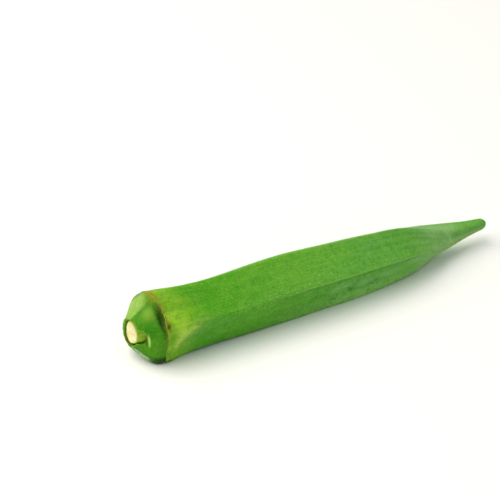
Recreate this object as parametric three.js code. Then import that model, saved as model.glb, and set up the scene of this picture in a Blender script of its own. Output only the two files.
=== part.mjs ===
import * as THREE from 'three';

// An okra pod lying on its side: one grown piece, closed all round. Lengths are in millimetres.
// X runs along the pod from the cut stem to the tip and Z is up. The origin is under the middle.
// Around the pod, angle 0 points to -Y and a quarter turn points up.
const DEG = Math.PI / 180;
const POD_COLOUR = 0x5a9f2d;
const RIDGES = 5;
const PITCH = 2 * Math.PI / RIDGES;
const TOP = Math.PI / 2;
const UNDER = -Math.PI / 2;

// Distances along the pod are counted from the cut face of the stem.
const LENGTH = 114.6;
const TIP_ROUND_AT = 112.0;
const MIDDLE_X = 57.05;
const MIDDLE_Y = -0.34;
const TABLE_Z = 0.05;

// The pod's axis: how far it swings to the side (Y) and how high it runs (Z), as [along, value].
const AXIS_SIDE = [[0, 0.1], [6, 0], [25, -0.9], [45, -0.75], [63, -1.5], [82, -1.4], [100, 0], [115, 0]];
const AXIS_UP = [
  [0, 8.4], [6, 8.2], [25, 7.95], [44, 7.7], [63, 7.4], [82, 6.7], [90, 6.1], [97, 5.5],
  [104, 5.5], [115, 5.65],
];

// How far the section has turned round the axis, as [along, angle]: the ridges twist near the tip.
const TWIST = [
  [0, 0], [60, 0], [72, 0], [80, -1 * DEG], [86, -4 * DEG], [92, -15 * DEG], [98, -31 * DEG],
  [104, -43 * DEG], [115, -52 * DEG],
];

// The body: radius at the ridges, how five-sided it is (0 is round), and how its ridges round over.
const RADIUS = [
  [5.7, 10.05], [9.5, 9.8], [15.2, 9.2], [22.8, 8.9], [32, 9.1], [44, 9.35], [58, 8.9],
  [72, 8.25], [84, 7.05], [93, 5.35], [101, 3.55], [107, 2.4], [112, 1.75],
];
const SQUARENESS = [
  [0, 0], [5.7, 0.72], [10, 0.86], [18, 0.9], [30, 0.84], [60, 0.78], [84, 0.76],
  [100, 0.66], [110, 0.4], [115, 0],
];
const RIDGE_SOFTNESS = [
  [0, 12 * DEG], [15, 9 * DEG], [40, 6 * DEG], [80, 4 * DEG], [92, 8 * DEG], [104, 13 * DEG],
  [115, 13 * DEG],
];
const RIB_HEIGHT = [
  [0, 0], [6, 0.1], [14, 0.12], [30, 0.22], [60, 0.3], [86, 0.28], [95, 0.14], [104, 0.08], [115, 0],
];
const RIB_WIDTH = 0.85;
const UNDER_HOLLOW = [[0, 0.8], [12, 0.8], [25, 0.6], [60, 0.6], [90, 0.4], [115, 0]];
const UNDER_HALF = 34 * DEG;

// What changes around the scar, the cap and the stub is given by ten values: one at each ridge and
// one at the middle of each face, in turn from the top ridge towards -Y.
const SCAR_AT = [5.9, 7.0, 6.1, 6.2, 6.7, 6.6, 6.2, 6.4, 5.9, 6.3];
const CAP_FULLNESS = [0.04, 0.12, 0.2, 0.34, 0.3, 0.26, 0.22, 0.18, 0.02, 0.02];
const COLLAR_RADIUS = [3.35, 4.3, 4.75, 4.25, 4.1, 4.1, 3.65, 3.0, 2.95, 3.4];
const COLLAR_GAP = [0.3, 0, 0.2, 1, 1, 1, 1, 1, 1, 0.8];
const LIP_WIDTH = [0.4, 0.3, 0.3, 0.25, 0.2, 0.2, 0.35, 0.6, 0.7, 0.6];
const STEM_RADIUS = [3.0, 4.05, 4.4, 3.8, 3.25, 3.4, 2.8, 1.9, 1.75, 2.05];
const NECK_LENGTH = [0.04, 0, 0, 0, 0, 0, 0.04, 0.08, 0.08, 0.08];

// The ring scar: a raised line on the body's side, lower at the back, and a groove on the cap's side.
const SCAR_HEIGHT = 0.15;
const SCAR_WIDTH = 0.22;
const SCAR_FADE_ANGLE = 150 * DEG;
const SCAR_FADE_HALF = 75 * DEG;
const SCAR_GROOVE = 0.15;
const CAP_END = 0.18;

// The body's shoulders by the scar: it drops a little at the back and is fuller low at the front, as
// [angle, half opening, place along, height].
const SHOULDERS = [
  [156 * DEG, 34 * DEG, 6, -0.4],
  [-52 * DEG, 30 * DEG, 7.6, 0.35],
];
const SHOULDER_WIDTH = 3;

// The cap: flat between its ridges, with one deep hollow beside the scar. Its swellings and folds
// are given as [angle, half opening, place between collar and scar, width, height].
const CAP_FACE_DIP = [0.25, 0.3, 0.3, 0.4, 0.25];
const CAP_SWELLINGS = [
  [114 * DEG, 42 * DEG, 0.62, 0.25, 0.5],
  [80 * DEG, 20 * DEG, 0.6, 0.3, -0.4],
  [60 * DEG, 22 * DEG, 0.5, 0.25, 0.5],
  [-92 * DEG, 44 * DEG, 0.26, 0.22, 0.55],
  [-43 * DEG, 8 * DEG, 0.25, 0.17, -0.3],
  [-42 * DEG, 36 * DEG, 0.2, 0.14, 0.25],
  [145 * DEG, 45 * DEG, 0.18, 0.14, 0.4],
];
const HOLLOW_ANGLE = 41 * DEG;
const HOLLOW_HALF = 41 * DEG;
const HOLLOW_AT = 0.955;
const HOLLOW_DEPTH = 1.7;
const TOP_LEAN = 14 * DEG;

// The stub's collar, slanted across the stem, and the scoop that is torn out of it.
const COLLAR_AT = -0.15;
const COLLAR_SLANT = 0.35;
const COLLAR_SLANT_ANGLE = 36 * DEG;
const SCOOP_ANGLE = 3 * DEG;
const SCOOP_HALF = 30 * DEG;
const SCOOP_OUT = 1.6;
const SCOOP_IN = 1.5;

// A smooth curve through stations [x, y]; past its ends it keeps the end values.
function curve(stations, x) {
  const last = stations.length - 1;
  const at = Math.min(Math.max(x, stations[0][0]), stations[last][0]);
  let i = 0;
  while (i < last - 1 && at > stations[i + 1][0]) i += 1;
  const slope = (k) => (stations[k + 1][1] - stations[k][1]) / (stations[k + 1][0] - stations[k][0]);
  const span = (k) => stations[k + 1][0] - stations[k][0];
  const tangent = (k) => {
    if (k === 0) return slope(0);
    if (k === last) return slope(last - 1);
    return (slope(k - 1) * span(k) + slope(k) * span(k - 1)) / (span(k) + span(k - 1));
  };
  const h = span(i);
  const t = (at - stations[i][0]) / h;
  const start = (2 * t ** 3 - 3 * t ** 2 + 1) * stations[i][1] + (t ** 3 - 2 * t ** 2 + t) * h * tangent(i);
  const end = (3 * t ** 2 - 2 * t ** 3) * stations[i + 1][1] + (t ** 3 - t ** 2) * h * tangent(i + 1);
  return start + end;
}

// A smooth closed curve through the ten values around the pod.
function around(values, angle) {
  const n = values.length;
  const turn = (TOP - angle) / (2 * Math.PI) * n;
  const i = Math.floor(turn);
  const t = turn - i;
  const [a, b, c, d] = [-1, 0, 1, 2].map((k) => values[(((i + k) % n) + n) % n]);
  return b + 0.5 * t * (c - a + t * (2 * a - 5 * b + 4 * c - d + t * (3 * (b - c) + d - a)));
}

function angleBetween(angle, centre) {
  return THREE.MathUtils.euclideanModulo(angle - centre + Math.PI, 2 * Math.PI) - Math.PI;
}

// 1 at the centre angle, falling smoothly to 0 at half an opening to each side.
function patch(angle, centre, half) {
  const d = angleBetween(angle, centre);
  return Math.abs(d) < half ? Math.cos(d * Math.PI / half / 2) ** 2 : 0;
}

function bell(x, centre, width) {
  return Math.exp(-(((x - centre) / width) ** 2));
}

function fromRidge(angle) {
  return THREE.MathUtils.euclideanModulo(angle - TOP + PITCH / 2, PITCH) - PITCH / 2;
}

// The distance to a regular five-sided outline, 1 at its ridges, rounded over by an angle.
function fiveSided(angle, softness) {
  const d = Math.sqrt(fromRidge(angle) ** 2 + softness ** 2) - softness;
  return Math.cos(PITCH / 2) / Math.cos(PITCH / 2 - d);
}

const scarAt = (angle) => around(SCAR_AT, angle);

function bodyRadius(s, angle) {
  const radius = curve(RADIUS, s);
  const flat = curve(SQUARENESS, s) * (1 - fiveSided(angle, curve(RIDGE_SOFTNESS, s)));
  const rib = curve(RIB_HEIGHT, s) * bell(fromRidge(angle) * radius, 0, RIB_WIDTH);
  const hollow = curve(UNDER_HOLLOW, s) * patch(angle, UNDER, UNDER_HALF);
  const height = SCAR_HEIGHT * (1 - 0.9 * patch(angle, SCAR_FADE_ANGLE, SCAR_FADE_HALF));
  const scar = height * bell(s - scarAt(angle), 0.08, SCAR_WIDTH);
  let shoulder = 0;
  for (const [middle, half, at, high] of SHOULDERS) {
    shoulder += high * patch(angle, middle, half) * bell(s, at, SHOULDER_WIDTH);
  }
  return radius * (1 - flat) + rib - hollow + shoulder + scar;
}

function scoop(angle) {
  const d = angleBetween(angle, SCOOP_ANGLE) / SCOOP_HALF;
  return Math.max(0, 1 - d * d) ** 0.75;
}

const collarRadius = (angle) => around(COLLAR_RADIUS, angle) + SCOOP_OUT * scoop(angle);
const collarAt = (angle) => (
  COLLAR_AT + COLLAR_SLANT * Math.cos(angle - COLLAR_SLANT_ANGLE) + SCOOP_IN * scoop(angle)
  + 0.5 * (1 - around(COLLAR_GAP, angle))
);

// The cap between the collar (q = 0) and the scar (q = 1), as [radius, along].
function capPoint(q, angle) {
  const neck = around(NECK_LENGTH, angle);
  const rise = Math.max(0, (q - neck) / (1 - neck));
  const share = rise + around(CAP_FULLNESS, angle) * Math.sin(Math.PI * rise);
  const lean = TOP_LEAN * patch(angle, TOP, 54 * DEG) * Math.sin(Math.PI * q);
  const inner = collarRadius(angle);
  const outer = bodyRadius(4.9, angle + lean);
  let radius = inner + (outer - inner) * share;
  for (let face = 0; face < RIDGES; face += 1) {
    const middle = TOP - PITCH * (face + 0.5);
    radius -= CAP_FACE_DIP[face] * patch(angle, middle, PITCH / 2) * bell(q, 0.84, 0.13);
  }
  const hollowWidth = q < HOLLOW_AT ? 0.18 : 0.03;
  radius -= HOLLOW_DEPTH * patch(angle, HOLLOW_ANGLE, HOLLOW_HALF) * bell(q, HOLLOW_AT, hollowWidth);
  for (const [middle, half, at, width, height] of CAP_SWELLINGS) {
    radius += height * patch(angle, middle, half) * bell(q, at, width);
  }
  radius -= SCAR_GROOVE * bell(q, 0.965, 0.035);
  return [radius, collarAt(angle) + (scarAt(angle) - CAP_END - collarAt(angle)) * q];
}

// The stub's side from the cut face's edge down to the gap's floor and up inside the collar's rim, as
// three points. Where there is no gap they lie on the straight line from the edge to the rim.
function stubSide(angle) {
  const stem = around(STEM_RADIUS, angle);
  const gap = around(COLLAR_GAP, angle);
  const cut = scoop(angle);
  const rim = collarRadius(angle);
  const rimAt = collarAt(angle);
  const floor = Math.min(stem + 0.4, rim - 0.35) + 0.6 * cut;
  const inside = Math.max(rim - around(LIP_WIDTH, angle), floor + 0.1);
  const opened = [
    [stem + 0.15 + 0.25 * cut, 0.14 + 0.7 * gap + 0.9 * cut],
    [floor, 0.3 + 0.8 * gap + 1.9 * cut],
    [inside, rimAt + 0.08],
  ];
  const shares = [0.2, 0.45, 0.75];
  const closed = shares.map((share) => [stem + share * (rim - stem), 0.14 + share * (rimAt - 0.14)]);
  const open = Math.min(1, Math.max(0, gap, cut));
  return opened.map((point, k) => point.map((value, i) => open * value + (1 - open) * closed[k][i]));
}

// The stub inside the collar: cut face, rounded edge and the gap down to its floor.
function stubRows() {
  const stem = (angle) => around(STEM_RADIUS, angle);
  const face = [0.4, 0.72, 0.9].map((part) => (angle) => [stem(angle) * part, 0.05 * part]);
  const side = [0, 1, 2].map((k) => (angle) => stubSide(angle)[k]);
  return [...face, (angle) => [stem(angle), 0.14], ...side];
}

// Rows of points from the stem to the tip; each row is a function of the angle: [radius, along].
function allRows() {
  const rows = stubRows();
  const capSteps = [
    0, 0.05, 0.12, 0.2, 0.3, 0.4, 0.5, 0.6, 0.69, 0.77, 0.83, 0.88, 0.92, 0.955, 0.97, 0.985, 1,
  ];
  for (const q of capSteps) rows.push((angle) => capPoint(q, angle));
  const scarSteps = [-0.08, 0.08, 0.26, 0.55, 0.9, 1.4, 2.1, 3, 4.2];
  for (const step of scarSteps) {
    rows.push((angle) => [bodyRadius(scarAt(angle) + step, angle), scarAt(angle) + step]);
  }
  const bodyStart = 10.1;
  const bodySteps = 34;
  for (let k = 1; k <= bodySteps; k += 1) {
    const s = bodyStart + (TIP_ROUND_AT - bodyStart) * k / bodySteps;
    const wave = Math.max(0, 1 - 5 * k / bodySteps);
    rows.push((angle) => {
      const along = s + wave * (scarAt(angle) - 5.9);
      return [bodyRadius(along, angle), along];
    });
  }
  for (const turn of [18 * DEG, 36 * DEG, 54 * DEG, 72 * DEG]) {
    const along = TIP_ROUND_AT + (LENGTH - TIP_ROUND_AT) * Math.sin(turn);
    rows.push((angle) => [bodyRadius(TIP_ROUND_AT, angle) * Math.cos(turn), along]);
  }
  return rows;
}

// A point of the surface; what would sink below the table is flattened onto it.
function place(radius, s, angle) {
  const turned = angle + curve(TWIST, s);
  const y = curve(AXIS_SIDE, s) - radius * Math.cos(turned) - MIDDLE_Y;
  const z = curve(AXIS_UP, s) + radius * Math.sin(turned) - TABLE_Z;
  return [s - MIDDLE_X, y, Math.max(0, z)];
}

function podGeometry() {
  const offsets = [-36, -27, -18, -11, -6, -2.5, 0, 2.5, 6, 11, 18, 27];
  const angles = [];
  for (let ridge = 0; ridge < RIDGES; ridge += 1) {
    for (const offset of offsets) angles.push(TOP + ridge * PITCH + offset * DEG);
  }
  const rows = allRows();
  const points = [place(0, 0, 0)];
  for (const row of rows) {
    for (const angle of angles) points.push(place(...row(angle), angle));
  }
  points.push(place(0, LENGTH, 0));

  const n = angles.length;
  const faces = [];
  const corner = (row, column) => 1 + row * n + (column % n);
  for (let column = 0; column < n; column += 1) {
    faces.push(0, corner(0, column), corner(0, column + 1));
    for (let row = 0; row < rows.length - 1; row += 1) {
      const [a, b] = [corner(row, column), corner(row, column + 1)];
      const [c, d] = [corner(row + 1, column + 1), corner(row + 1, column)];
      faces.push(a, c, b, a, d, c);
    }
    faces.push(points.length - 1, corner(rows.length - 1, column + 1), corner(rows.length - 1, column));
  }
  const geometry = new THREE.BufferGeometry();
  geometry.setAttribute('position', new THREE.Float32BufferAttribute(points.flat(), 3));
  geometry.setIndex(faces);
  geometry.computeVertexNormals();
  return geometry;
}

const skin = new THREE.MeshStandardMaterial({ color: POD_COLOUR, roughness: 0.55 });
const pod = new THREE.Mesh(podGeometry(), skin);
pod.name = 'okra_pod';

const okra = new THREE.Group();
okra.name = 'okra';
okra.add(pod);

export default okra;
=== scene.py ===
import bpy
import numpy as np
from bpy.props import FloatProperty, FloatVectorProperty, IntProperty, PointerProperty
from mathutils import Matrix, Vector


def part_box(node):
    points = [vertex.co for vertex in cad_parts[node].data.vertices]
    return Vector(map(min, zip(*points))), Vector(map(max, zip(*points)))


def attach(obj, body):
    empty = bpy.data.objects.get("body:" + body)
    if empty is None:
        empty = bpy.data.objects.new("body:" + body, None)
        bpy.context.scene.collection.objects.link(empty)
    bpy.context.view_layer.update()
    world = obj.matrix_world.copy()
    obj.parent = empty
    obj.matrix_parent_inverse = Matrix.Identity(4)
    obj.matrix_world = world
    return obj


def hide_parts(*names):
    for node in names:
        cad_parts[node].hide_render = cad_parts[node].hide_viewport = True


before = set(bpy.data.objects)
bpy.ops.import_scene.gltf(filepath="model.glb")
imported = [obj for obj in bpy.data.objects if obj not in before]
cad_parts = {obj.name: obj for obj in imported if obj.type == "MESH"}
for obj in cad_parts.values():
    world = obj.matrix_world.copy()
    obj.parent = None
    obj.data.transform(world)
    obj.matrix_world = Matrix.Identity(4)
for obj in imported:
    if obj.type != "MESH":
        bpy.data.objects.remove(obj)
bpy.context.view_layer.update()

bl_info = {
    "name": "Okra pod",
    "version": (1, 0, 0),
    "blender": (4, 5, 0),
    "location": "View3D > Sidebar > Okra",
    "description": "An okra pod lying on its side, with its skin, down, cut stem and a plain stage",
    "category": "Add Mesh",
}

NODE = "okra_pod"
BODY = "root"

MM = 0.001
DEG = np.pi / 180

# The pod's shape, in millimetres and radians, the same as the solid's. Distances along the pod are
# counted from the cut face of the stem. Around it, angle 0 points to -Y and a quarter turn is up.
RIDGES = 5
PITCH = 2 * np.pi / RIDGES
TOP = np.pi / 2
UNDER = -np.pi / 2
LENGTH = 114.6
TIP_ROUND_AT = 112.0
MIDDLE_X = 57.05
MIDDLE_Y = -0.34
TABLE_Z = 0.05

# The pod's axis: how far it swings to the side (Y) and how high it runs (Z), as (along, value).
AXIS_SIDE = [(0, 0.1), (6, 0), (25, -0.9), (45, -0.75), (63, -1.5), (82, -1.4), (100, 0), (115, 0)]
AXIS_UP = [
    (0, 8.4), (6, 8.2), (25, 7.95), (44, 7.7), (63, 7.4), (82, 6.7), (90, 6.1), (97, 5.5),
    (104, 5.5), (115, 5.65),
]

# How far the section has turned round the axis, as (along, angle): the ridges twist near the tip.
TWIST = [
    (0, 0), (60, 0), (72, 0), (80, -1 * DEG), (86, -4 * DEG), (92, -15 * DEG), (98, -31 * DEG),
    (104, -43 * DEG), (115, -52 * DEG),
]

# The body: radius at the ridges, how five-sided it is (0 is round), how its ridges round over, the
# rib on each ridge and the hollow underneath, as (along, value).
RADIUS = [
    (5.7, 10.05), (9.5, 9.8), (15.2, 9.2), (22.8, 8.9), (32, 9.1), (44, 9.35), (58, 8.9),
    (72, 8.25), (84, 7.05), (93, 5.35), (101, 3.55), (107, 2.4), (112, 1.75),
]
SQUARENESS = [
    (0, 0), (5.7, 0.72), (10, 0.86), (18, 0.9), (30, 0.84), (60, 0.78), (84, 0.76),
    (100, 0.66), (110, 0.4), (115, 0),
]
RIDGE_SOFTNESS = [
    (0, 12 * DEG), (15, 9 * DEG), (40, 6 * DEG), (80, 4 * DEG), (92, 8 * DEG), (104, 13 * DEG),
    (115, 13 * DEG),
]
RIB_HEIGHT = [
    (0, 0), (6, 0.1), (14, 0.12), (30, 0.22), (60, 0.3), (86, 0.28), (95, 0.14), (104, 0.08),
    (115, 0),
]
RIB_WIDTH = 0.85
UNDER_HOLLOW = [(0, 0.8), (12, 0.8), (25, 0.6), (60, 0.6), (90, 0.4), (115, 0)]
UNDER_HALF = 34 * DEG

# What changes around the scar, the cap and the stub is given by ten values: one at each ridge and
# one at the middle of each face, in turn from the top ridge towards -Y.
SCAR_AT = [5.9, 7.0, 6.1, 6.2, 6.7, 6.6, 6.2, 6.4, 5.9, 6.3]
CAP_FULLNESS = [0.04, 0.12, 0.2, 0.34, 0.3, 0.26, 0.22, 0.18, 0.02, 0.02]
COLLAR_RADIUS = [3.35, 4.3, 4.75, 4.25, 4.1, 4.1, 3.65, 3.0, 2.95, 3.4]
COLLAR_GAP = [0.3, 0, 0.2, 1, 1, 1, 1, 1, 1, 0.8]
LIP_WIDTH = [0.4, 0.3, 0.3, 0.25, 0.2, 0.2, 0.35, 0.6, 0.7, 0.6]
STEM_RADIUS = [3.0, 4.05, 4.4, 3.8, 3.25, 3.4, 2.8, 1.9, 1.75, 2.05]
NECK_LENGTH = [0.04, 0, 0, 0, 0, 0, 0.04, 0.08, 0.08, 0.08]
YELLOW_REACH = [6, 8.5, 9.5, 7.5, 7, 7, 7, 7, 7, 6]

# The ring scar, which lies at least SCAR_NEAREST along: a raised line on the body's side, lower at
# the back, and a groove on the cap's side, whose middle and width are shares of the way from the
# collar to the scar. The cap ends CAP_END before it.
SCAR_NEAREST = 5.9
SCAR_HEIGHT = 0.15
SCAR_WIDTH = 0.22
SCAR_CREST = 0.08
SCAR_FADE = 0.9
SCAR_FADE_ANGLE = 150 * DEG
SCAR_FADE_HALF = 75 * DEG
SCAR_GROOVE = 0.15
SCAR_GROOVE_AT = 0.965
SCAR_GROOVE_WIDTH = 0.035
CAP_END = 0.18

# The body's shoulders by the scar: it drops a little at the back and is fuller low at the front,
# as (angle, half opening, place along, height).
SHOULDERS = [(156 * DEG, 34 * DEG, 6.0, -0.4), (-52 * DEG, 30 * DEG, 7.6, 0.35)]
SHOULDER_WIDTH = 3.0

# The cap ends on the outline that the body has at one place along. It is flat between its ridges,
# with one deep hollow beside the scar, and its top ridge leans over. Its swellings and folds are
# given as (angle, half opening, place between collar and scar, width, height).
CAP_OUTLINE_AT = 4.9
CAP_FACE_DIP = [0.25, 0.3, 0.3, 0.4, 0.25]
CAP_DIP_AT = 0.84
CAP_DIP_WIDTH = 0.13
CAP_SWELLINGS = [
    (114 * DEG, 42 * DEG, 0.62, 0.25, 0.5),
    (80 * DEG, 20 * DEG, 0.6, 0.3, -0.4),
    (60 * DEG, 22 * DEG, 0.5, 0.25, 0.5),
    (-92 * DEG, 44 * DEG, 0.26, 0.22, 0.55),
    (-43 * DEG, 8 * DEG, 0.25, 0.17, -0.3),
    (-42 * DEG, 36 * DEG, 0.2, 0.14, 0.25),
    (145 * DEG, 45 * DEG, 0.18, 0.14, 0.4),
]
HOLLOW_ANGLE = 41 * DEG
HOLLOW_HALF = 41 * DEG
HOLLOW_AT = 0.955
HOLLOW_BEFORE = 0.18
HOLLOW_AFTER = 0.03
HOLLOW_DEPTH = 1.7
TOP_LEAN = 14 * DEG
TOP_LEAN_HALF = 54 * DEG

# The stub's collar, slanted across the stem and further along where its gap is closed, and the
# scoop that is torn out of it.
COLLAR_AT = -0.15
COLLAR_SLANT = 0.35
COLLAR_SLANT_ANGLE = 36 * DEG
COLLAR_CLOSED = 0.5
SCOOP_ANGLE = 3 * DEG
SCOOP_HALF = 30 * DEG
SCOOP_OUT = 1.6
SCOOP_IN = 1.5

# The cut face's edge: its place along, the radius rounded off it and how far the face drops to it.
# Where there is no gap, three points take these shares of the way from the edge to the rim.
STEM_EDGE = 0.14
EDGE_ROUND = 0.12
FACE_DROP = 0.03
GAP_SHARES = (0.2, 0.45, 0.75)

# Points round the pod, and rows over the cut face, the stub's side, the cap, the zone beyond the
# scar, the rest of the body and the rounded tip. The zone's start and length count from the scar.
COLUMNS = 220
FACE_ROWS = 22
GAP_ROWS = 26
CAP_ROWS = 112
SCAR_ROWS = 44
BODY_ROWS = 225
TIP_ROWS = 14
SCAR_ZONE_START = -0.14
SCAR_ZONE = 4.35
BODY_START = 10.1

# What q says on the rows that aren't the cap's.
STUB_Q = 2
BODY_Q = 3

# Fine relief that the looks add to the solid's shape: unevenness of the skin, between the radii at
# which it begins and is full, of the collar, of the scar's place and, as a share, of its height;
# and the torn edge beside the scoop, a low fold with a crease before it, a share as deep.
SKIN_RIPPLE = 0.05
RIPPLE_RADII = (1.7, 5.7)
COLLAR_RAGGED = 0.03
SCAR_RAGGED = 0.06
SCAR_UNEVEN = 0.25
FIBRE_RELIEF = 0.04
FIBRE_ANGLE = 78 * DEG
FOLD_HEIGHT = 0.18
FOLD_ANGLE = 0.0
FOLD_HALF = 21 * DEG
FOLD_AT = 2.15
FOLD_WIDTH = 0.34
FOLD_SOFT = 0.1
FOLD_TAPER = 0.125
CREASE_BEFORE = 0.42
CREASE_DEPTH = 0.7

# Seeded unevenness, as (seed, waves, most turns round the pod, finest pitch along it).
SCAR_WAVES = (11, 9, 44, 1)
SCAR_HEIGHT_WAVES = (12, 6, 40, 1)
SKIN_WAVES = (13, 24, 9, 14)
COLLAR_WAVES = (14, 8, 15, 1)
HOLLOW_WAVES = (21, 6, 30, 1)

# The down: the stretch that it grows on, the radius at which every drawn place is kept, how close
# it comes to the scar and the table, how deep its roots sit, how much the hairs differ in length
# and way, how far they lean, the steps that find the skin's slope, and a way that no hair points.
HAIR_SEED = 29
HAIR_FROM = 2.0
HAIR_TO = LENGTH - 1.0
HAIR_RADIUS = 10.0
HAIR_FROM_SCAR = 0.4
HAIR_CLEARANCE = 0.5
HAIR_SINK = 0.03
HAIR_LENGTHS = (0.55, 1.25)
HAIR_SPREAD = 0.35
HAIR_LEAN = 0.35
STEP_ALONG = 0.05
STEP_ROUND = 0.01
ASKEW = (0.31, 0.52, 0.79)
TINY = 1e-20

# Where some of the colours lie, with angles in degrees: the line below the front ridge, with
# painted light above it and painted shade and the pale band along it, as (from the scar, angle); a
# scratch across the taper, as (angle, along); painted rim light with a painted shade line above it
# along the cap's lower edge, as (q, angle); and the blotches of two masks, as (along, angle,
# length, half opening).
BAND_AT = [
    (0, -50), (2, -31), (3.4, -20), (4.7, -5), (6.5, 2), (8, 11), (10, 16), (13, 20), (30, 20),
]
SCRATCH_AT = [(-60, 101.5), (0, 100.6), (60, 99.6), (90, 98.2), (140, 96)]
STRIP_AT = [(0, -54), (0.09, -46), (0.2, -43), (0.5, -42), (1, -42)]
SMEARS = {
    "pale_smear": [
        (61, -1, 1.6, 5), (57.5, -4, 2.2, 7), (66.5, -8, 3, 8), (75, -6, 4, 9), (88, -8, 3, 14),
        (84, 6, 2.5, 8),
    ],
    "dark_smear": [
        (63.4, -2, 1.1, 5), (62, -16, 1.4, 7), (52.5, -10, 2, 8), (57, -30, 1.5, 9),
        (70.5, -16, 2.4, 8),
    ],
}

# The streaks are read on a bar of this radius, so that they run to the tip and narrow with the pod.
GRAIN_RADIUS = 9

# The masks' values at the middle of the cut face and at the tip, where they aren't 0.
END_VALUES = {"along": (0, 1), "cap": (1, 0), "smooth": (0, 0.5)}


def curve(stations, x):
    """A smooth curve through stations (x, y): on each span a cubic that meets its neighbours with a
    shared slope, the mean of the two spans' slopes weighted by the other span's length."""
    at, value = np.array(stations, float).T
    span = np.diff(at)
    slope = np.diff(value) / span
    inner = (slope[:-1] * span[:-1] + slope[1:] * span[1:]) / (span[:-1] + span[1:])
    tangent = np.concatenate([slope[:1], inner, slope[-1:]])
    x = np.clip(x, at[0], at[-1])
    i = np.clip(np.searchsorted(at, x, side="right") - 1, 0, len(span) - 1)
    t = (x - at[i]) / span[i]
    start = (2 * t**3 - 3 * t**2 + 1) * value[i] + (t**3 - 2 * t**2 + t) * span[i] * tangent[i]
    end = (3 * t**2 - 2 * t**3) * value[i + 1] + (t**3 - t**2) * span[i] * tangent[i + 1]
    return start + end


def cubic(a, b, c, d, t):
    """From b (t = 0) to c (t = 1) along the smooth cubic through four values in a row."""
    return b + 0.5 * t * (c - a + t * (2 * a - 5 * b + 4 * c - d + t * (3 * (b - c) + d - a)))


def around(values, angle):
    """A smooth closed curve through ten values round the pod, one at each ridge and face middle in
    turn from the top ridge towards -Y: a cubic through four neighbours."""
    values = np.array(values, float)
    turn = (TOP - angle) / (2 * np.pi) * len(values)
    i = np.floor(turn).astype(int)
    return cubic(*(values[(i + k) % len(values)] for k in (-1, 0, 1, 2)), turn - i)


def angle_between(angle, centre):
    return (angle - centre + np.pi) % (2 * np.pi) - np.pi


def patch(angle, centre, half):
    """1 at the centre angle, falling as a squared cosine to 0 at half to each side."""
    d = angle_between(angle, centre)
    return np.where(np.abs(d) < half, np.cos(d * np.pi / half / 2) ** 2, 0)


def bell(x, centre, width):
    return np.exp(-(((x - centre) / width) ** 2))


def rise(x, zero_at, one_at):
    """0 at one value of x, 1 at another, even between them and held beyond them. Where zero_at is
    the greater, it falls as x grows."""
    return np.clip((x - zero_at) / (one_at - zero_at), 0, 1)


def from_ridge(angle):
    return (angle - TOP + PITCH / 2) % PITCH - PITCH / 2


def five_sided(angle, softness):
    """The distance to a regular five-sided outline, 1 at its ridges, rounded over by an angle."""
    d = np.sqrt(from_ridge(angle) ** 2 + softness**2) - softness
    return np.cos(PITCH / 2) / np.cos(PITCH / 2 - d)


def ripple(s, angle, seed, waves, finest_turn, finest_mm):
    """Seeded unevenness of about unit height: a sum of cosine waves, each with a whole number of
    turns round the pod, so that it closes, and its own pitch along it."""
    draw = np.random.default_rng(seed)
    total = np.zeros(np.broadcast(s, angle).shape)
    for _ in range(waves):
        turns = draw.integers(0, finest_turn + 1)
        pitch = 2 * np.pi / finest_mm * draw.uniform(-1, 1)
        total = total + np.cos(turns * angle + pitch * s + draw.uniform(0, 2 * np.pi))
    return total / np.sqrt(waves / 2)


def scar_at(angle):
    return around(SCAR_AT, angle) + SCAR_RAGGED * ripple(0, angle, *SCAR_WAVES)


def body_radius(s, angle):
    """The body's section before the twist turns it: a rounded five-sided outline with a rib on each
    ridge, hollowed under the pod, plus the shoulders, the scar's raised line and a fine unevenness
    that dies away in the narrow tip."""
    radius = curve(RADIUS, s)
    flat = curve(SQUARENESS, s) * (1 - five_sided(angle, curve(RIDGE_SOFTNESS, s)))
    rib = curve(RIB_HEIGHT, s) * bell(from_ridge(angle) * radius, 0, RIB_WIDTH)
    hollow = curve(UNDER_HOLLOW, s) * patch(angle, UNDER, UNDER_HALF)
    shoulder = sum(height * patch(angle, middle, half) * bell(s, at, SHOULDER_WIDTH)
                   for middle, half, at, height in SHOULDERS)
    scar_height = SCAR_HEIGHT * (1 + SCAR_UNEVEN * ripple(0, angle, *SCAR_HEIGHT_WAVES))
    scar_height = scar_height * (1 - SCAR_FADE * patch(angle, SCAR_FADE_ANGLE, SCAR_FADE_HALF))
    scar = scar_height * bell(s - scar_at(angle), SCAR_CREST, SCAR_WIDTH)
    uneven = SKIN_RIPPLE * ripple(s, angle, *SKIN_WAVES) * rise(radius, *RIPPLE_RADII)
    return radius * (1 - flat) + rib - hollow + shoulder + scar + uneven


def scoop(angle):
    """The scoop beside the stub: a rounded arch over its opening, 1 in the middle."""
    return np.maximum(0, 1 - (angle_between(angle, SCOOP_ANGLE) / SCOOP_HALF) ** 2) ** 0.75


def collar_radius(angle):
    return around(COLLAR_RADIUS, angle) + SCOOP_OUT * scoop(angle)


def collar_at(angle):
    slant = COLLAR_SLANT * np.cos(angle - COLLAR_SLANT_ANGLE)
    closed = COLLAR_CLOSED * (1 - around(COLLAR_GAP, angle))
    ragged = COLLAR_RAGGED * ripple(0, angle, *COLLAR_WAVES)
    return COLLAR_AT + slant + SCOOP_IN * scoop(angle) + closed + ragged


def fold_mask(along, angle):
    """The torn edge beside the scoop: a short crescent, widest in its middle, that fades out where
    half its width is less than FOLD_TAPER."""
    half = FOLD_WIDTH / 2 * np.sqrt(patch(angle, FOLD_ANGLE, FOLD_HALF))
    across = rise(np.abs(along - FOLD_AT) - half, FOLD_SOFT, -FOLD_SOFT)
    return across * rise(half, 0, FOLD_TAPER)


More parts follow.
